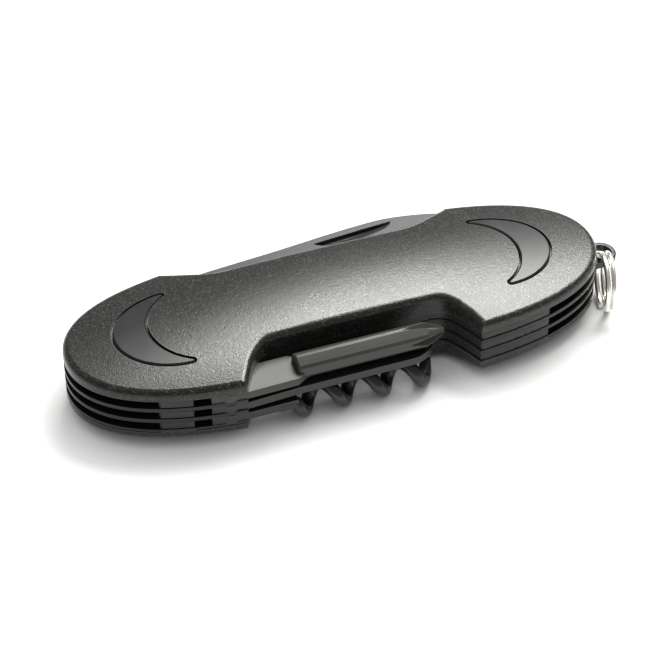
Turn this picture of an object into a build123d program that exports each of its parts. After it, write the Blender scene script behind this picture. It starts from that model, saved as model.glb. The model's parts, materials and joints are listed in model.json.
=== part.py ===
"""Pocket multi tool: two domed scales over a three-layer pack of folding tools.

Millimetres, Z up. The origin is on the ground under the middle of the body; +X runs to the
key ring, -Y is the side with the finger notch. Layers count from the ground: C, B, A.
"""
from math import atan2, cos, degrees, hypot, pi, radians, sin, sqrt
from pathlib import Path

from build123d import *

OUT = Path("parts")
OUT.mkdir(exist_ok=True)

# ---- driving dimensions -------------------------------------------------------------------
HALF_LENGTH, HALF_WIDTH = 45.0, 15.94      # body in plan
END_POWER, SIDE_POWER = 3.55, 2.08         # how square the ends and the long sides are
BODY_HEIGHT = 14.0
CROWN_DROP = 1.9                           # fall of the dome from its middle to the rim
CROWN_ROLL = 1.1                           # rounding of the crown into the walls
REST_LAND = 0.12                           # depth of the flat ground into the lower dome
SCALE_UNDERSIDE = 10.4                     # top scale spans this to BODY_HEIGHT
OUTER_LINER, INNER_LINER = 0.4, 0.65
LINER_TOP_INSET = 0.35                     # the top liner hides inside the skirt of the scale
SLOT = 1.5                                 # height of one tool layer
SIDE_PLAY = 0.05                           # tool to liner, each side
RUNNING_FIT = 0.03                         # tool hole to pin, on the radius

LINER_BOTTOM_Z = BODY_HEIGHT - SCALE_UNDERSIDE + 0.2
C_Z = LINER_BOTTOM_Z + OUTER_LINER         # 4.2
LINER_LOWER_Z = C_Z + SLOT                 # 5.7
B_Z = LINER_LOWER_Z + INNER_LINER          # 6.35
LINER_UPPER_Z = B_Z + SLOT                 # 7.85
A_Z = LINER_UPPER_Z + INNER_LINER          # 8.5
LINER_TOP_Z = A_Z + SLOT                   # 10.0

MAIN_PIN, MAIN_PIN_R = (-37.5, 3.8), 1.25  # blade, saw and opener
FRONT_PIN, FRONT_PIN_R = (-22.7, -12.1), 1.1   # driver, awl and corkscrew
END_RIVET, END_RIVET_R = (38.6, -1.0), 1.1     # holds the key ring bail
FOOT_RIVET = (-31.2, -7.6)
MID_RIVET = (6.0, -1.1)
BLOCK_RIVET = (25.0, -9.6)
RIVET_R = 0.9
PIN_Z0, PIN_Z1 = 2.9, 11.2                 # pins end blind inside the scales

TANG_R = 4.6                               # round tang of the back tools
FRONT_TANG_R = 3.2
NOTCH_DEPTH_Y = -8.0
SPINE_Y0, SPINE_Y1 = -8.3, 1.6             # the springs lie between the two rows of tools

EYE, EYE_R, EYE_HOLE_R = (46.8, -0.77), 2.65, 1.65
RING_R, RING_WIRE_R, RING_PITCH = 4.66, 0.45, 1.04
RING_CENTRE, RING_TURN = (45.72, -5.4, 5.16), -14.7
JOG_ANGLE = -36.0                          # where round the ring the wire crosses over


# ---- small helpers --------------------------------------------------------------------------
def outline_points(inset=0.0, count=72):
    """Points evenly spaced along the body outline, pulled in by inset."""
    a, b = HALF_LENGTH - inset, HALF_WIDTH - inset
    dense = []
    for i in range(1440):
        t = 2 * pi * i / 1440
        lo, hi = 0.0, 60.0
        for _ in range(40):
            r = (lo + hi) / 2
            f = abs(r * cos(t) / a) ** END_POWER + abs(r * sin(t) / b) ** SIDE_POWER
            lo, hi = (r, hi) if f < 1 else (lo, r)
        dense.append((lo * cos(t), lo * sin(t)))
    steps = [hypot(q[0] - p[0], q[1] - p[1]) for p, q in zip(dense, dense[1:] + dense[:1])]
    pitch, run, picked = sum(steps) / count, 0.0, []
    for p, step in zip(dense, steps):
        if run >= pitch * len(picked) - 1e-9 and len(picked) < count:
            picked.append(p)
        run += step
    return picked


def rim_y(x, inset=0.0):
    """Half width of the body at x."""
    a, b = HALF_LENGTH - inset, HALF_WIDTH - inset
    return b * (1 - abs(x / a) ** END_POWER) ** (1 / SIDE_POWER)


def outline(inset=0.0):
    return make_face(Spline(*outline_points(inset), periodic=True))


def slab(face, z0, z1):
    """Extrude a face drawn on the ground between two heights."""
    return extrude(Pos(0, 0, z0) * face, amount=z1 - z0)


def disc(centre, radius, z0, z1):
    return slab(Pos(*centre, 0) * Circle(radius), z0, z1)


def shape(*parts):
    """A face from polylines and splines given as lists of points; ('s', ...) is a spline."""
    edges, last, first = [], None, None
    for kind, *pts in parts:
        pts = ([last] if last and hypot(last[0] - pts[0][0], last[1] - pts[0][1]) > 1e-6
               else []) + list(pts)
        first = first or pts[0]
        edges += [Spline(*pts)] if kind == "s" else [Line(p, q) for p, q in zip(pts, pts[1:])]
        last = pts[-1]
    if hypot(last[0] - first[0], last[1] - first[1]) > 1e-6:
        edges.append(Line(last, first))
    return make_face(edges)


def dome(apex):
    """Barrel-shaped solid whose top is the crown surface, highest at z = apex."""
    ry = HALF_WIDTH ** 2 / (2 * CROWN_DROP)
    rx = HALF_LENGTH ** 2 / (2 * CROWN_DROP)
    z_end = apex - rx + sqrt(rx ** 2 - 60 ** 2)
    arc = ThreePointArc((-60, 0, z_end), (0, 0, apex), (60, 0, z_end))
    floor = apex - ry
    sides = [Line((60, 0, z_end), (60, 0, floor)), Line((60, 0, floor), (-60, 0, floor)),
             Line((-60, 0, floor), (-60, 0, z_end))]
    profile = make_face([arc] + sides)
    return revolve(profile, Axis((0, 0, floor), (1, 0, 0)), 360)


def flip(part):
    """Turn a top-side part over so that it becomes its bottom-side twin."""
    return mirror(part, Plane.XY.offset(BODY_HEIGHT / 2))


# ---- openings in the sides of the body -------------------------------------------------------
def notch_face(grow=0.0):
    left = [(-22.0, -18.6), (-20.9, -16.4), (-19.0, -12.8), (-17.7, -10.7), (-16.2, -9.1)]
    right = [(15.8, -9.2), (16.9, -11.1), (17.9, -13.2), (18.8, -15.6), (19.7, -18.6)]
    left = [(x - grow, y + grow) for x, y in left]
    right = [(x + grow, y + grow) for x, y in right]
    y = NOTCH_DEPTH_Y + grow
    flank_l = Spline(*left, (-13.2, y), tangents=((0.42, 0.9), (1, 0)))
    flank_r = Spline((12.8, y), *right, tangents=((1, 0), (0.3, -0.95)))
    flat = Line((-13.2, y), (12.8, y))
    return make_face([flank_l, flat, flank_r, Line(right[-1], left[0])])


def waist_face():
    left = [(-27.6, 16.8), (-24.6, 14.75), (-20.2, 12.5)]
    right = [(-x, y) for x, y in reversed(left)]
    fall = Spline(*left, (-14.5, 11.0), tangents=((0.8, -0.6), (1, 0)))
    rise = Spline((14.5, 11.0), *right, tangents=((1, 0), (0.8, 0.6)))
    return make_face([fall, Line((-14.5, 11.0), (14.5, 11.0)), rise,
                      Line((27.6, 16.8), (27.6, 20)), Line((27.6, 20), (-27.6, 20)),
                      Line((-27.6, 20), (-27.6, 16.8))])


NOTCH, WAIST = slab(notch_face(), -1, 15), slab(waist_face(), -1, 15)


# ---- scales and their inlays ------------------------------------------------------------------
INLAY_FLOOR = 12.0
INLAY_GAP = 0.36
HORN_R = 0.7                               # rounding of the crescent's two ends


def crescent(side, inset=0.0):
    """Crescent at one end, its horns rounded; side is -1 left, +1 at the key ring."""
    outer = Pos(side * 26.4, 0) * Ellipse(10.85 - inset, 9.1 - inset)
    face = Sketch() + (outer - Pos(side * 22.2, 0) * Circle(8.9 + inset))
    face -= Pos(side * 12.8, 0) * Rectangle(20, 40)
    horns = [v for v in face.vertices() if abs(v.Y) > 5]
    return fillet(horns, HORN_R - inset)


def blind_holes(z0, z1):
    pins = [(MAIN_PIN, MAIN_PIN_R), (FRONT_PIN, FRONT_PIN_R), (END_RIVET, END_RIVET_R),
            (FOOT_RIVET, RIVET_R), (MID_RIVET, RIVET_R), (BLOCK_RIVET, RIVET_R)]
    return [disc(c, r, z0, z1) for c, r in pins]


def liner_face(inset):
    return outline(inset) - notch_face(inset) - waist_face()


def top_scale():
    """Domed scale with a thin skirt that hides the edge of the liner under it."""
    part = slab(outline(), LINER_TOP_Z, BODY_HEIGHT + 1) - NOTCH - WAIST
    part = part & dome(BODY_HEIGHT)
    rim = [e for e in part.edges() if e.center().Z > SCALE_UNDERSIDE + 0.7 and e.length > 3
           and abs(e.bounding_box().max.Z - e.bounding_box().min.Z) < 2.4]
    part = fillet(rim, CROWN_ROLL)
    for side in (-1, 1):
        part -= slab(crescent(side), INLAY_FLOOR, BODY_HEIGHT + 1)
    part -= slab(liner_face(LINER_TOP_INSET), LINER_TOP_Z - 1, SCALE_UNDERSIDE)
    for hole in blind_holes(SCALE_UNDERSIDE - 1, PIN_Z1):
        part -= hole
    return part


def bottom_scale():
    part = Pos(0, 0, -REST_LAND) * flip(top_scale())
    part = part & slab(Rectangle(100, 40), 0, BODY_HEIGHT - SCALE_UNDERSIDE - REST_LAND)
    under_blocks = Pos(22.15, -13) * Rectangle(19.1, 9) + Pos(-31.2, -13) * Rectangle(5.2, 9)
    part += slab(liner_face(0), 3.4, LINER_BOTTOM_Z - 0.18)
    part += slab(liner_face(1.3) + (liner_face(0) & under_blocks), 3.4, LINER_BOTTOM_Z)
    for hole in blind_holes(PIN_Z0, LINER_BOTTOM_Z + 1):
        part -= hole
    return part


def inlay(side, bottom=False):
    """Crescent plate standing a hair proud of the dome, its top edge broken."""
    part = slab(crescent(-1, INLAY_GAP), INLAY_FLOOR, BODY_HEIGHT + 1)
    part = part & dome(BODY_HEIGHT + 0.06)
    rim = [e for e in part.edges() if e.center().Z > INLAY_FLOOR + 0.3 and abs((e % 0.5).Z) < 0.7]
    part = chamfer(rim, 0.22).solid()
    if bottom:
        part = Pos(0, 0, -REST_LAND) * flip(part)
    return Rot(0, 0, 180) * part if side > 0 else part


# ---- liners and springs ----------------------------------------------------------------------
def liner(z0, thickness, inset):
    part = slab(liner_face(inset), z0, z0 + thickness)
    for hole in blind_holes(z0 - 1, z0 + thickness + 1):
        part -= hole
    return part


FOOT_X0, FOOT_X1 = -33.8, -28.6            # spring foot that shows at the front left
BLOCK_X = 31.7                             # end of the block that shows at the front right
EDGE_BREAK = 0.18


def spring(z0, z1, eye_lug):
    """Backspring of one layer: foot, spine between the tools, block along the notch side."""
    face = outline(0.1) & (Pos((FOOT_X0 + 41) / 2, -9.3) * Rectangle(41 - FOOT_X0, 21.8))
    keep = shape(
        ("p", (FOOT_X0, -17), (FOOT_X1, -17), (FOOT_X1, -10.2)),
        ("s", (-28.2, -9.0), (-26.6, SPINE_Y0)),
        ("p", (12.6, SPINE_Y0), (12.6, -17), (BLOCK_X, -17), (BLOCK_X, -8.0)),
        ("s", (32.4, -5.6), (34.6, -4.6)),
        ("p", (36.4, -4.4) if eye_lug else (41.2, -4.6), (36.4, 1.4) if eye_lug else (41.2, 1.4),
         (-31.9, SPINE_Y1), (-33.1, 0.9)),
        ("s", (-33.9, -0.8), (FOOT_X0 + 0.5, -3.2)),
        ("p", (FOOT_X0, -4.4)),
    )
    face = (face & keep) - notch_face(0.15)
    slit = Pos(-9.5, -3.6) * SlotOverall(37, 0.8)
    part = slab(face, z0, z1) - slab(slit, z0 - 1, z1 + 1)
    if eye_lug:
        part -= disc(END_RIVET, 3.3, z0 - 1, z1 + 1)
    else:
        part -= disc(END_RIVET, END_RIVET_R, z0 - 1, z1 + 1)
    for centre in (FOOT_RIVET, MID_RIVET, BLOCK_RIVET):
        part -= disc(centre, RIVET_R, z0 - 1, z1 + 1)
    ends = [e for e in part.edges().filter_by(Axis.Z) if e.center().Y < -11]
    part = chamfer(ends, 0.25)
    shown = [e for e in part.edges() if e.bounding_box().size.Z < 1e-4 and e.length > 4
             and abs(abs((e @ 0.5).Y) - rim_y((e @ 0.5).X, 0.1)) < 0.03]
    return chamfer(shown, EDGE_BREAK)


# ---- tools that fold out of the back ----------------------------------------------------------
def tool_slab(face, slot_z):
    return slab(face, slot_z + SIDE_PLAY, slot_z + SLOT - SIDE_PLAY)


def on_pin(part, pin, radius):
    return part - disc(pin, radius + RUNNING_FIT, -1, 16)


def grind(part, points, width, slot_z):
    """Bevel both faces towards a convex cutting edge given as points."""
    mid, half = slot_z + SLOT / 2, SLOT / 2 - SIDE_PLAY
    land = 0.1
    reach = Pos(points[0][0] + 60, 0, mid) * Box(120, 80, 10)
    for (x0, y0), (x1, y1) in zip(points, points[1:]):
        along = degrees(atan2(y1 - y0, x1 - x0))
        lean = degrees(atan2(half - land, width))
        for way in (1, -1):
            wedge = Pos(0, -20, way * 10) * Box(200, 80, 20)
            wedge = Pos((x0 + x1) / 2, (y0 + y1) / 2, mid + way * land) * (
                Rot(0, 0, along) * (Rot(way * lean, 0, 0) * (Pos(0, 20, 0) * wedge)))
            part -= wedge & reach
    return part


BLADE_EDGE = [(-27.0, 4.4), (20.0, 4.4), (26.5, 5.1), (31.0, 6.9), (33.7, 9.6)]


def blade():
    """Main blade with a nail nick: a deep slot whose lower side slopes up to the face."""
    tang_x, tang_y = MAIN_PIN
    back = [(-37.5, 8.4), (-33.0, 9.8), (-28.0, 12.2), (-23.0, 13.9), (-18.3, 14.6),
            (-11.1, 15.3), (-3.9, 16.0), (3.5, 16.9), (10.9, 17.6), (15.5, 17.7),
            (19.5, 17.15), (24.3, 15.9), (28.5, 13.8), (31.6, 11.7), (33.7, 9.6)]
    face = shape(("s", *back), ("p", *reversed(BLADE_EDGE)),
                 ("p", (-27.0, 3.3), (-29.4, 3.3), (-30.6, 4.6), (-33.4, 2.2), (-37.5, 3.8)))
    face += Pos(tang_x, tang_y) * Circle(TANG_R)
    part = on_pin(tool_slab(face, A_Z), MAIN_PIN, MAIN_PIN_R)
    part = grind(part, BLADE_EDGE, 4.6, A_Z)
    top = A_Z + SLOT - SIDE_PLAY
    upper = [(1.7, 15.4), (5.0, 15.71), (8.5, 16.03), (12.2, 16.36), (16.1, 16.6)]
    lower = [(14.7, 16.24), (12.3, 15.68), (10.0, 15.25), (7.2, 14.88), (3.8, 14.74)]
    brow = [(x, y + 0.12) for x, y in upper]
    cheek = [(15.6, 15.95), (13.0, 14.75), (10.2, 14.15), (6.8, 14.0), (3.0, 14.55)]
    slot = make_face([Spline(*upper), Spline(upper[-1], *lower, upper[0])])
    mouth = make_face([Spline(*brow), Spline(brow[-1], *cheek, brow[0])])
    nick = loft([Pos(0, 0, top - 0.26) * slot, Pos(0, 0, top + 0.001) * mouth])
    nick += slab(slot, top - 0.7, top - 0.2)
    return part - nick


def saw():
    pitch, x0, x1, root, tip = 1.9, -25.0, 27.0, 5.6, 4.5
    teeth = []
    for i in range(int((x1 - x0) / pitch)):
        x = x0 + pitch * i
        teeth += [(x, tip), (x + pitch * 0.62, root)]
    teeth.append((x0 + pitch * int((x1 - x0) / pitch), tip))
    back = [(-37.5, 8.4), (-32.0, 10.6), (-26.0, 11.9), (-16.0, 12.7), (0.0, 13.3), (14.0, 13.4),
            (24.0, 12.6), (29.0, 10.6), (31.2, 7.6)]
    face = shape(("s", *back), ("p", (30.6, 5.0), *reversed(teeth)),
                 ("p", (-26.4, 3.3), (-29.4, 3.3), (-30.6, 4.6), (-33.4, 2.2), (-37.5, 3.8)))
    face += Pos(*MAIN_PIN) * Circle(TANG_R)
    return on_pin(tool_slab(face, B_Z), MAIN_PIN, MAIN_PIN_R)


def opener():
    """Cap lifter with a screwdriver end, and a can hook on its inner side."""
    back = [(-37.5, 8.4), (-32.0, 10.4), (-26.0, 11.4), (-12.0, 12.2), (2.0, 12.4), (8.0, 12.2)]
    face = shape(("s", *back), ("p", (13.0, 11.4), (17.6, 11.0), (17.6, 7.0), (13.4, 6.8)),
                 ("s", (12.0, 8.4), (8.6, 9.2), (5.2, 7.6), (4.6, 5.0)),
                 ("p", (3.2, 4.0), (-2.0, 5.4)),
                 ("s", (-8.0, 6.0), (-18.0, 5.2), (-26.4, 4.4)),
                 ("p", (-29.4, 3.3), (-30.6, 4.6), (-33.4, 2.2), (-37.5, 3.8)))
    face += Pos(*MAIN_PIN) * Circle(TANG_R)
    return on_pin(tool_slab(face, C_Z), MAIN_PIN, MAIN_PIN_R)


# ---- tools in the finger notch ---------------------------------------------------------------
DRIVER_AXIS = (-12.45, A_Z + 1.5)          # y and z of the driver's shaft
DRIVER_R, DRIVER_X0, DRIVER_X1 = 2.05, -11.6, 13.4
WORM_AXIS = (-12.85, 3.25)                 # y and z of the corkscrew worm
WORM_R, WORM_WIRE_R, WORM_PITCH, WORM_TURNS = 1.9, 1.1, 6.7, 3.6


def front_tang(x1, y_top, y_bottom):
    """Tang on the front pin, flush with the outline, running on to x1."""
    x, y = FRONT_PIN
    rim = [(x0, -rim_y(x0, 0.12)) for x0 in (-26.0, -24.0, -22.0, -20.0)]
    face = shape(("p", (-26.0, y)), ("p", (-26.0, rim[0][1])), ("s", *rim[1:]),
                 ("p", (x1, y_bottom), (x1, y_top), (x, y_top), (x, y)))
    return face + Pos(x, y) * Circle(FRONT_TANG_R)


def driver():
    face = front_tang(-12.0, -9.6, -15.2)
    neck = shape(("p", (-12.0, -15.2), (-10.2, -14.1), (-8.4, -13.6), (-8.4, -11.2),
                  (-10.2, -10.7), (-12.0, -9.6)))
    part = on_pin(tool_slab(face + neck, A_Z), FRONT_PIN, FRONT_PIN_R)
    turn = Pos(0, *DRIVER_AXIS) * Rot(0, 90, 0)
    length = DRIVER_X1 - DRIVER_X0
    shaft = Pos(DRIVER_X0, 0, 0) * turn * (Pos(0, 0, length / 2) * Cylinder(DRIVER_R, length))
    hexagon = Pos(DRIVER_X0, 0, 0) * turn * extrude(RegularPolygon(2.2, 6), amount=length)
    shaft = shaft & hexagon
    nose = [(-1, 3), (length - 3.6, 3.0), (length - 3.4, DRIVER_R), (length - 1.0, 1.15),
            (length, 0.45), (length, 0), (-1, 0)]
    nose = make_face(Polyline(*[(x + DRIVER_X0, 0, z) for x, z in nose], close=True))
    nose = Pos(0, *DRIVER_AXIS) * revolve(nose, Axis.X, 360)
    shaft = chamfer(shaft.edges().group_by(Axis.X)[0], 0.25) & nose
    for angle in (0, 90, 180, 270):
        flute = Pos(7.0, 0, DRIVER_R) * Rot(0, 13.5, 0) * (
            Pos(6, 0, 1.5) * (Rot(45, 0, 0) * Box(14, 1.5, 1.5) + Pos(0, 0, 1) * Box(14, 2.1, 2)))
        flute = Pos(0, 0, -0.62) * flute
        shaft -= Pos(0, *DRIVER_AXIS) * Rot(angle, 0, 0) * flute
    return part + shaft


def awl():
    face = front_tang(-12.0, -9.9, -14.95)
    point = shape(("p", (-12.0, -14.95), (7.6, -14.9)),
                  ("s", (10.2, -14.0), (11.6, -12.7)),
                  ("s", (8.0, -11.1), (2.0, -9.95), (-12.0, -9.9)))
    part = on_pin(tool_slab(face + point, B_Z), FRONT_PIN, FRONT_PIN_R)
    part -= disc((4.6, -12.4), 0.7, 0, 16)
    top = B_Z + SLOT - SIDE_PLAY
    bevel = Pos(4, -9.6, top) * Rot(-22, 0, 0) * Box(26, 3.2, 1.1)
    return part - Pos(0, 0, 0.55) * bevel


def corkscrew():
    face = front_tang(-18.0, -9.8, -15.4)
    arm = shape(("p", (-18.0, -15.4), (-12.1, -15.35), (-12.1, -13.4), (-13.9, -13.0)),
                ("s", (-16.0, -11.4), (-18.0, -9.8)))
    part = on_pin(tool_slab(face + arm, C_Z), FRONT_PIN, FRONT_PIN_R)
    y0, z0 = WORM_AXIS
    start = 150.0

    def worm(angle):
        t = radians(angle)
        x = -10.7 + WORM_PITCH * (angle - 231.5) / 360
        return (x, y0 + WORM_R * cos(t), z0 + WORM_R * sin(t))

    lead = [(-15.1, -14.4, 4.62), (-13.6, -14.4, 4.6)]
    last = start + 360 * WORM_TURNS
    path = [worm(start + 360 * WORM_TURNS * i / 64) for i in range(65)]
    spine = Spline(*lead, *path)
    wire = sweep(Plane(origin=spine @ 0, z_dir=spine % 0) * Circle(WORM_WIRE_R), path=spine)
    rim = wire.faces().sort_by_distance(worm(last))[0].edges()
    wire = chamfer(rim, 1.8, 0.94)
    return part + wire


# ---- pins, bail and ring ----------------------------------------------------------------------
def pin(centre, radius):
    return disc(centre, radius, PIN_Z0, PIN_Z1)


def bail():
    """Plate riveted between the inner liners, thinner outside them, with a rounded eye."""
    x, y = EYE
    lug = Pos(*END_RIVET) * Circle(3.1)
    lug += shape(("p", (38.0, -3.9), (43.6, -3.4), (43.6, 1.9), (38.0, 2.1)))
    neck = shape(("p", (42.0, -3.5), (x, y - EYE_R + 0.04), (x, y + EYE_R - 0.04), (42.0, 1.95)))
    plate = slab(lug, B_Z, B_Z + SLOT) + slab(neck, B_Z + 0.15, B_Z + SLOT - 0.15)
    plate -= disc(EYE, EYE_HOLE_R + 0.04, 0, 16)
    plate -= disc(END_RIVET, END_RIVET_R, 0, 16)
    boss = disc(EYE, EYE_R, B_Z + 0.08, B_Z + SLOT - 0.08) - disc(EYE, EYE_HOLE_R, 0, 16)
    return plate + fillet(boss.edges().filter_by(GeomType.CIRCLE), 0.3)


def split_ring():
    """Two flat turns of wire side by side, joined by a short jog; the ends meet the jog."""
    x, y, z = RING_CENTRE
    jog, half = 23.0, RING_PITCH / 2
    turns = [(a, -half) for a in range(int(jog) + 3, 338, 6)]
    turns += [(360 - jog, -half), (360 - jog * 0.45, -half * 0.62), (360, 0.0),
              (360 + jog * 0.45, half * 0.62), (360 + jog, half)]
    turns += [(a, half) for a in range(366 + int(jog), 720 - int(jog), 6)]
    points = [(RING_R * cos(radians(a)), RING_R * sin(radians(a)), h) for a, h in turns]
    coil = Spline(*points)
    section = Plane(origin=coil @ 0, z_dir=coil % 0) * Circle(RING_WIRE_R)
    ring = sweep(section, path=coil, is_frenet=False)
    return Pos(x, y, z) * Rot(0, 0, RING_TURN) * Rot(0, 90, 0) * Rot(0, 0, JOG_ANGLE) * ring


NODES = {
    "top_scale": top_scale,
    "bottom_scale": bottom_scale,
    "inlay_top_left": lambda: inlay(-1),
    "inlay_top_right": lambda: inlay(1),
    "inlay_bottom_left": lambda: inlay(-1, bottom=True),
    "inlay_bottom_right": lambda: inlay(1, bottom=True),
    "liner_top": lambda: liner(LINER_TOP_Z, OUTER_LINER, LINER_TOP_INSET),
    "liner_upper": lambda: liner(LINER_UPPER_Z, INNER_LINER, 0.0),
    "liner_lower": lambda: liner(LINER_LOWER_Z, INNER_LINER, 0.0),
    "liner_bottom": lambda: liner(LINER_BOTTOM_Z, OUTER_LINER, 0.0),
    "spring_upper": lambda: spring(A_Z, A_Z + SLOT, False),
    "spring_middle": lambda: spring(B_Z, B_Z + SLOT, True),
    "spring_lower": lambda: spring(C_Z, C_Z + SLOT, False),
    "main_blade": blade,
    "wood_saw": saw,
    "cap_lifter": opener,
    "cross_driver": driver,
    "awl": awl,
    "corkscrew": corkscrew,
    "main_pin": lambda: pin(MAIN_PIN, MAIN_PIN_R),
    "front_pin": lambda: pin(FRONT_PIN, FRONT_PIN_R),
    "end_rivet": lambda: pin(END_RIVET, END_RIVET_R),
    "foot_rivet": lambda: pin(FOOT_RIVET, RIVET_R),
    "mid_rivet": lambda: pin(MID_RIVET, RIVET_R),
    "block_rivet": lambda: pin(BLOCK_RIVET, RIVET_R),
    "bail": bail,
    "split_ring": split_ring,
}

for name, build in NODES.items():
    solid = build()
    solid.label = name
    export_step(solid, str(OUT / f"{name}.step"))
    box = solid.bounding_box()
    print(f"{name:20s} valid {solid.is_valid}  solids {len(solid.solids())}  "
          f"volume {solid.volume:9.2f}  x {box.min.X:7.2f} {box.max.X:7.2f}  "
          f"y {box.min.Y:7.2f} {box.max.Y:7.2f}  z {box.min.Z:6.2f} {box.max.Z:6.2f}")
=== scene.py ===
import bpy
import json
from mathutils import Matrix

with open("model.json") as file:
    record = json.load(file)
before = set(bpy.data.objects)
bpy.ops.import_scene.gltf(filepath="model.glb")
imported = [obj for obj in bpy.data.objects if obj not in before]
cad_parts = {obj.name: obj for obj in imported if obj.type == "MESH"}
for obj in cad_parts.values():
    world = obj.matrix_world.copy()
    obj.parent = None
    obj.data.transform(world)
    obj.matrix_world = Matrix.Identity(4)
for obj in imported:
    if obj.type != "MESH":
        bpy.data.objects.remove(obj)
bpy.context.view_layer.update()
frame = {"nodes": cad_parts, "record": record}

import json
import math

import bpy
from mathutils import Vector

MM = 0.001
NODES = frame["nodes"]

# Grain of the finishes, and the lightening of their worn edges, which is partly a painted edge
# highlight
SAND_GRAIN = 3900.0               # sand grains per metre
METAL_FLAKE = 4800.0              # flakes per metre
SAND_DEPTH = 0.05 * MM
# Width of the lightened edge band: worn edge and painted edge highlight
PAINT_WEAR_AND_HIGHLIGHT_WIDTH = 0.30 * MM
STEEL_WEAR_AND_HIGHLIGHT_WIDTH = 0.14 * MM
GRINDING_DEPTH = 0.006 * MM
FLAKE_COLOUR = (0.16, 0.16, 0.15, 1)
# Colours of the lightened edges: worn metal and painted edge highlight
RUBBED_PAINT_AND_HIGHLIGHT = (0.20, 0.20, 0.19, 1)
RUBBED_STEEL_AND_HIGHLIGHT = (0.24, 0.24, 0.23, 1)

# Edges of the sheet and bar pieces: width of the broken edge in mm
EDGE_WIDTHS = {
    "liner_top": 0.05, "liner_upper": 0.09, "liner_lower": 0.09, "liner_bottom": 0.06,
    "spring_upper": 0.06, "spring_middle": 0.06, "spring_lower": 0.06,
    "main_blade": 0.05, "wood_saw": 0.05, "cap_lifter": 0.06, "cross_driver": 0.06, "awl": 0.06,
}
SHARP_FROM = math.radians(40)     # an edge that turns more than this is broken

# Studio, in metres and watts; the camera is placed in mm
FLOOR_HALF = 4.0
FLOOR_SHADE = 0.35
FLOOR_GLOW = 0.80
PAINTED_SHADOW_REACH = 10 * MM        # how far from the tool the floor glow is dimmed as painted shadow
SKY_GLOW = 0.34
KEY_PLACE = (0.248, 0.232, 0.49)
KEY_AIM = (0.0, 0, 0.01)
KEY_SIZE = (0.42, 0.27)
KEY_WATTS = 8.3
KEY_COLOUR = (1.0, 1.0, 0.965)
CAMERA_PLACE = Vector((-99.87, -262.45, 242.57)) * MM
CAMERA_AIM = Vector((0.26, 1.29, 1.9)) * MM
CAMERA_FIELD = math.radians(16.81)
SENSOR_WIDTH = 36.0


# ---- shader groups ----------------------------------------------------------------------------
def new_group(name, inputs, outputs):
    """An empty node group with float inputs {name: default} and outputs [(name, kind)]."""
    group = bpy.data.node_groups.new(name, "ShaderNodeTree")
    for label, value in inputs.items():
        socket = group.interface.new_socket(label, in_out="INPUT", socket_type="NodeSocketFloat")
        socket.default_value = value
    for label, kind in outputs:
        group.interface.new_socket(label, in_out="OUTPUT", socket_type="NodeSocket" + kind)
    return group, group.nodes.new("NodeGroupInput"), group.nodes.new("NodeGroupOutput")


def add(tree, kind, **settings):
    node = tree.nodes.new("ShaderNode" + kind)
    for key, value in settings.items():
        setattr(node, key, value)
    return node


def feed(tree, socket, value):
    """Link a socket to another socket, or give it a plain value."""
    if isinstance(value, bpy.types.NodeSocket):
        tree.links.new(value, socket)
    elif value is not None:
        socket.default_value = value


def maths(tree, operation, a, b):
    node = add(tree, "Math", operation=operation)
    feed(tree, node.inputs[0], a)
    feed(tree, node.inputs[1], b)
    return node.outputs[0]


def noise(tree, vector, scale, detail=2.0, roughness=0.5, distortion=0.0):
    node = add(tree, "TexNoise")
    feed(tree, node.inputs["Vector"], vector)
    for label, value in (("Scale", scale), ("Detail", detail), ("Roughness", roughness),
                         ("Distortion", distortion)):
        feed(tree, node.inputs[label], value)
    return node.outputs["Fac"]


def stretched(tree, scale):
    """Object coordinates, scaled along each axis."""
    place = add(tree, "TexCoord")
    mapping = add(tree, "Mapping")
    tree.links.new(place.outputs["Object"], mapping.inputs["Vector"])
    mapping.inputs["Scale"].default_value = scale
    return mapping.outputs["Vector"]


def remap(tree, value, low, high, to_low=0.0, to_high=1.0):
    node = add(tree, "MapRange", clamp=True)
    for socket, given in zip(node.inputs, (value, low, high, to_low, to_high)):
        feed(tree, socket, given)
    return node.outputs[0]


def edge_wear_highlight_group():
    """Where an outer edge is lightened, partly as worn paint or steel and partly as painted
    highlight: 1 on the edge, broken up by noise.
    """
    tree, given, put = new_group("edge_wear_and_painted_highlight", {"Radius": STEEL_WEAR_AND_HIGHLIGHT_WIDTH, "Breakup": 0.5},
                                 [("Wear_And_Highlight", "Float")])
    bevel = add(tree, "Bevel", samples=8)
    tree.links.new(given.outputs["Radius"], bevel.inputs["Radius"])
    true_normal = add(tree, "NewGeometry")
    dot = add(tree, "VectorMath", operation="DOT_PRODUCT")
    tree.links.new(bevel.outputs[0], dot.inputs[0])
    tree.links.new(true_normal.outputs["Normal"], dot.inputs[1])
    edge = remap(tree, dot.outputs["Value"], 0.995, 0.86)
    patch = noise(tree, stretched(tree, (1, 1, 1)), 900.0, 3.0, 0.65)
    patch = remap(tree, patch, 0.35, 0.62)
    keep = maths(tree, "MULTIPLY", maths(tree, "SUBTRACT", 1.0, patch), given.outputs["Breakup"])
    tree.links.new(maths(tree, "MULTIPLY", edge, maths(tree, "SUBTRACT", 1.0, keep)),
                   put.inputs["Wear_And_Highlight"])
    return tree


def brushed_group():
    """Fine straight grinding lines along X, with a few deeper ones."""
    tree, given, put = new_group("brushed_lines", {"Fineness": 1.0},
                                 [("Lines", "Float"), ("Tone", "Float")])
    fine = noise(tree, stretched(tree, (90, 9000, 9000)), given.outputs["Fineness"], 3.0, 0.7)
    broad = noise(tree, stretched(tree, (25, 1600, 1600)), given.outputs["Fineness"], 2.0, 0.6)
    both = maths(tree, "ADD", maths(tree, "MULTIPLY", fine, 0.6),
                 maths(tree, "MULTIPLY", broad, 0.4))
    tree.links.new(both, put.inputs["Lines"])
    tree.links.new(remap(tree, both, 0.35, 0.65), put.inputs["Tone"])
    return tree


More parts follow.
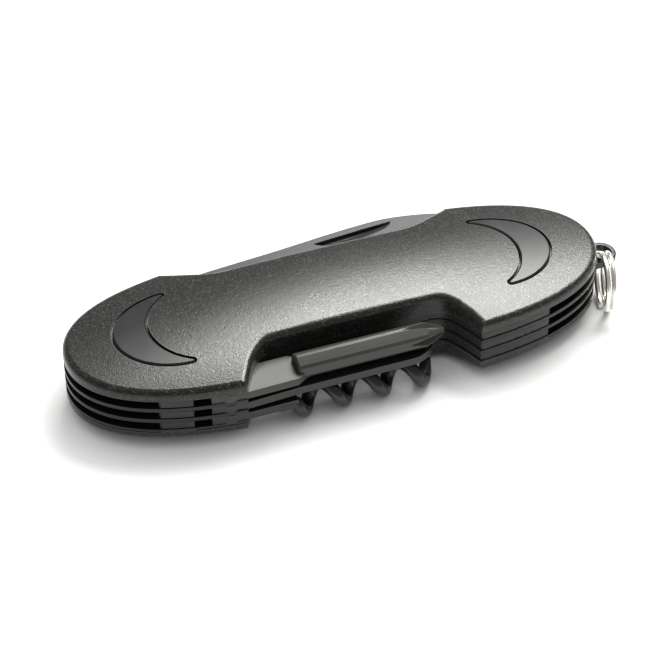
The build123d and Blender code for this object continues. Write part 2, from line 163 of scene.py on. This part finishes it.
def handling_group():
    """Soft cloudy change of gloss left by handling, with small specks of dust."""
    tree, given, put = new_group("handling", {"Cloud Scale": 60.0, "Speck Scale": 1500.0},
                                 [("Cloud", "Float"), ("Specks", "Float")])
    place = stretched(tree, (1, 1, 1))
    cloud = noise(tree, place, given.outputs["Cloud Scale"], 4.0, 0.6, 0.4)
    tree.links.new(remap(tree, cloud, 0.32, 0.68), put.inputs["Cloud"])
    speck = noise(tree, place, given.outputs["Speck Scale"], 1.0, 0.4)
    tree.links.new(remap(tree, speck, 0.70, 0.78), put.inputs["Specks"])
    return tree


def sand_group():
    """Sand-textured coating: small rounded grains, a few of them flakes that catch light."""
    tree, given, put = new_group("sand_coat",
                                 {"Grain Scale": SAND_GRAIN, "Flake Scale": METAL_FLAKE},
                                 [("Height", "Float"), ("Flakes", "Float"), ("Mottle", "Float")])
    place = stretched(tree, (1, 1, 1))
    grains = noise(tree, place, given.outputs["Grain Scale"], 2.5, 0.62)
    broad = noise(tree, place, maths(tree, "MULTIPLY", given.outputs["Grain Scale"], 0.4),
                  2.0, 0.5)
    tree.links.new(maths(tree, "ADD", grains, maths(tree, "MULTIPLY", broad, 0.6)),
                   put.inputs["Height"])
    flakes = add(tree, "TexVoronoi", feature="F1")
    tree.links.new(place, flakes.inputs["Vector"])
    tree.links.new(given.outputs["Flake Scale"], flakes.inputs["Scale"])
    split = add(tree, "SeparateColor")
    tree.links.new(flakes.outputs["Color"], split.inputs[0])
    tree.links.new(remap(tree, split.outputs[0], 0.78, 1.0), put.inputs["Flakes"])
    tree.links.new(remap(tree, grains, 0.3, 0.7), put.inputs["Mottle"])
    return tree


EDGE_WEAR_AND_HIGHLIGHT = edge_wear_highlight_group()
BRUSHED = brushed_group()
HANDLING = handling_group()
SAND = sand_group()


def placed(tree, group, **values):
    node = tree.nodes.new("ShaderNodeGroup")
    node.node_tree = group
    for label, value in values.items():
        node.inputs[label.replace("_", " ")].default_value = value
    return node


def blend_colour(tree, factor, a, b):
    node = add(tree, "Mix", data_type="RGBA")
    feed(tree, node.inputs[0], factor)
    feed(tree, node.inputs[6], a)
    feed(tree, node.inputs[7], b)
    return node.outputs[2]


def blank_material(name):
    material = bpy.data.materials.new(name)
    material.use_nodes = True
    tree = material.node_tree
    return material, tree, tree.nodes["Principled BSDF"]


def bumped(tree, shader, height, distance, strength):
    bump = add(tree, "Bump")
    bump.inputs["Distance"].default_value = distance
    bump.inputs["Strength"].default_value = strength
    feed(tree, bump.inputs["Height"], height)
    tree.links.new(bump.outputs[0], shader.inputs["Normal"])


def sand_paint(name, dark, light, roughness, grain):
    """Gunmetal paint with a sandy grain and metal flake, its outer edges lightened, partly as
    worn paint and partly as painted highlight.
    """
    material, tree, shader = blank_material(name)
    sand = placed(tree, SAND)
    wear_and_highlight = placed(tree, EDGE_WEAR_AND_HIGHLIGHT, Radius=PAINT_WEAR_AND_HIGHLIGHT_WIDTH, Breakup=0.6)
    hands = placed(tree, HANDLING, Cloud_Scale=45.0)
    base = blend_colour(tree, sand.outputs["Mottle"], dark, light)
    base = blend_colour(tree, maths(tree, "MULTIPLY", sand.outputs["Flakes"], 0.35), base,
                        FLAKE_COLOUR)
    # Lighten the edges: partly worn paint, partly painted edge highlight
    base = blend_colour(tree, maths(tree, "MULTIPLY", wear_and_highlight.outputs["Wear_And_Highlight"], 0.35), base,
                        RUBBED_PAINT_AND_HIGHLIGHT)
    tree.links.new(base, shader.inputs["Base Color"])
    shader.inputs["Specular IOR Level"].default_value = 0.37
    rough = maths(tree, "ADD", roughness, maths(tree, "MULTIPLY", hands.outputs["Cloud"], 0.05))
    rough = maths(tree, "SUBTRACT", rough, maths(tree, "MULTIPLY", sand.outputs["Flakes"], 0.08))
    tree.links.new(rough, shader.inputs["Roughness"])
    bumped(tree, shader, sand.outputs["Height"], SAND_DEPTH, grain)
    return material


def ground_steel(name, dark, light, roughness, shine, lines, rubbed_and_highlight, metallic=0.0):
    """Finished steel with fine grinding lines, its edges lightened, partly as worn steel and
    partly as painted highlight.
    """
    material, tree, shader = blank_material(name)
    brushed = placed(tree, BRUSHED)
    wear_and_highlight = placed(tree, EDGE_WEAR_AND_HIGHLIGHT)
    hands = placed(tree, HANDLING, Cloud_Scale=120.0)
    base = blend_colour(tree, brushed.outputs["Tone"], dark, light)
    # Lighten the edges: partly worn steel, partly painted edge highlight
    base = blend_colour(tree, maths(tree, "MULTIPLY", wear_and_highlight.outputs["Wear_And_Highlight"], rubbed_and_highlight), base,
                        RUBBED_STEEL_AND_HIGHLIGHT)
    tree.links.new(base, shader.inputs["Base Color"])
    shader.inputs["Metallic"].default_value = metallic
    shader.inputs["Specular IOR Level"].default_value = shine
    rough = maths(tree, "ADD", roughness, maths(tree, "MULTIPLY", hands.outputs["Cloud"], 0.07))
    rough = maths(tree, "ADD", rough, maths(tree, "MULTIPLY", hands.outputs["Specks"], 0.15))
    tree.links.new(rough, shader.inputs["Roughness"])
    bumped(tree, shader, brushed.outputs["Lines"], GRINDING_DEPTH, lines)
    return material


FINISH = {
    "scale_paint": sand_paint(
        "gunmetal_sand_paint", dark=(0.007, 0.0071, 0.0065, 1), light=(0.014, 0.0142, 0.013, 1),
        roughness=0.26, grain=0.55),
    "inlay_steel": ground_steel(
        "inlay_black", dark=(0.008, 0.0085, 0.010, 1), light=(0.013, 0.0138, 0.0155, 1),
        roughness=0.30, shine=0.36, lines=0.15, rubbed_and_highlight=0.25),
    "liner_steel": ground_steel(
        "liner_black", dark=(0.008, 0.008, 0.0076, 1), light=(0.015, 0.015, 0.014, 1),
        roughness=0.30, shine=0.32, lines=0.3, rubbed_and_highlight=0.4),
    "spring_steel": ground_steel(
        "spring_black", dark=(0.010, 0.010, 0.0094, 1), light=(0.019, 0.019, 0.0178, 1),
        roughness=0.34, shine=0.38, lines=0.35, rubbed_and_highlight=0.35),
    "pin_steel": ground_steel(
        "pin_plain", dark=(0.12, 0.12, 0.12, 1), light=(0.2, 0.2, 0.2, 1),
        roughness=0.3, shine=0.5, lines=0.3, rubbed_and_highlight=0.5, metallic=0.8),
    "bail_steel": ground_steel(
        "bail_black", dark=(0.010, 0.010, 0.010, 1), light=(0.018, 0.018, 0.017, 1),
        roughness=0.26, shine=0.4, lines=0.2, rubbed_and_highlight=0.3),
    "blade_steel": ground_steel(
        "blade_black", dark=(0.011, 0.012, 0.014, 1), light=(0.020, 0.022, 0.025, 1),
        roughness=0.30, shine=0.38, lines=0.5, rubbed_and_highlight=0.5),
    "tool_steel": ground_steel(
        "tool_black", dark=(0.010, 0.010, 0.0094, 1), light=(0.018, 0.018, 0.017, 1),
        roughness=0.27, shine=0.42, lines=0.35, rubbed_and_highlight=0.4),
    "driver_steel": ground_steel(
        "driver_plated", dark=(0.030, 0.030, 0.027, 1), light=(0.048, 0.048, 0.043, 1),
        roughness=0.36, shine=0.42, lines=0.25, rubbed_and_highlight=0.4, metallic=0.1),
    "ring_nickel": ground_steel(
        "ring_nickel", dark=(0.82, 0.80, 0.72, 1), light=(0.92, 0.90, 0.83, 1),
        roughness=0.26, shine=0.5, lines=0.1, rubbed_and_highlight=0.1, metallic=1.0),
}
SLOT_OF = {row["node"]: row["material_slot"] for row in frame["record"]["subparts"]}
for name, node in NODES.items():
    node.data.materials.clear()
    node.data.materials.append(FINISH[SLOT_OF[name]])


# ---- broken edges on the sheet and bar pieces --------------------------------------------------
for name, width in EDGE_WIDTHS.items():
    join = NODES[name].modifiers.new("join", "WELD")
    join.merge_threshold = 0.002 * MM
    edge = NODES[name].modifiers.new("broken_edges", "BEVEL")
    edge.width, edge.segments, edge.limit_method = width * MM, 2, "ANGLE"
    edge.angle_limit = SHARP_FROM
    edge.harden_normals = True
    edge.use_clamp_overlap = True


# ---- studio -----------------------------------------------------------------------------------
def sweep_floor():
    """White ground that glows evenly, except close under the tool where its glow is dimmed by
    ambient occlusion as a painted contact shadow.
    """
    mesh = bpy.data.meshes.new("floor")
    far = FLOOR_HALF
    mesh.from_pydata([(-far, -far, 0), (far, -far, 0), (far, far, 0), (-far, far, 0)],
                     [], [(0, 1, 2, 3)])
    floor = bpy.data.objects.new("floor", mesh)
    bpy.context.scene.collection.objects.link(floor)
    material, tree, shader = blank_material("white_sweep")
    shader.inputs["Base Color"].default_value = (FLOOR_SHADE, FLOOR_SHADE, FLOOR_SHADE, 1)
    shader.inputs["Roughness"].default_value = 0.8
    shader.inputs["Specular IOR Level"].default_value = 0.1
    # Painted contact shadow: the floor glow fades near the tool by ambient occlusion
    painted_shadow_ao = add(tree, "AmbientOcclusion", samples=8)
    painted_shadow_ao.inputs["Distance"].default_value = PAINTED_SHADOW_REACH
    glow_with_painted_shadow = maths(tree, "MULTIPLY", maths(tree, "POWER", painted_shadow_ao.outputs["AO"], 1.5), FLOOR_GLOW)
    tree.links.new(glow_with_painted_shadow, shader.inputs["Emission Strength"])
    shader.inputs["Emission Color"].default_value = (1, 1, 1, 1)
    mesh.materials.append(material)


def stood_up(name, data, place, target):
    """A lamp or camera put in its place and turned to its target."""
    item = bpy.data.objects.new(name, data)
    item.location = place
    item.rotation_mode = "QUATERNION"
    item.rotation_quaternion = (Vector(target) - Vector(place)).to_track_quat("-Z", "Y")
    bpy.context.scene.collection.objects.link(item)
    return item


def sky():
    """Even white light from all round."""
    world = bpy.data.worlds.new("studio")
    world.use_nodes = True
    background = world.node_tree.nodes["Background"]
    background.inputs["Color"].default_value = (1, 1, 1, 1)
    background.inputs["Strength"].default_value = SKY_GLOW
    bpy.context.scene.world = world
    bpy.context.scene.view_settings.view_transform = "Standard"


def key_softbox():
    """One broad soft light behind the right end, seen as the long sheen on the upper scale."""
    light = bpy.data.lights.new("key_softbox", "AREA")
    light.shape, (light.size, light.size_y) = "RECTANGLE", KEY_SIZE
    light.energy, light.color = KEY_WATTS, KEY_COLOUR
    stood_up("key_softbox", light, KEY_PLACE, KEY_AIM)


def camera():
    lens = bpy.data.cameras.new("camera")
    lens.sensor_width = SENSOR_WIDTH
    lens.lens = SENSOR_WIDTH / 2 / math.tan(CAMERA_FIELD / 2)
    lens.clip_start, lens.clip_end = 0.01, 20.0
    bpy.context.scene.camera = stood_up("camera", lens, CAMERA_PLACE, CAMERA_AIM)


sweep_floor()
sky()
key_softbox()
camera()
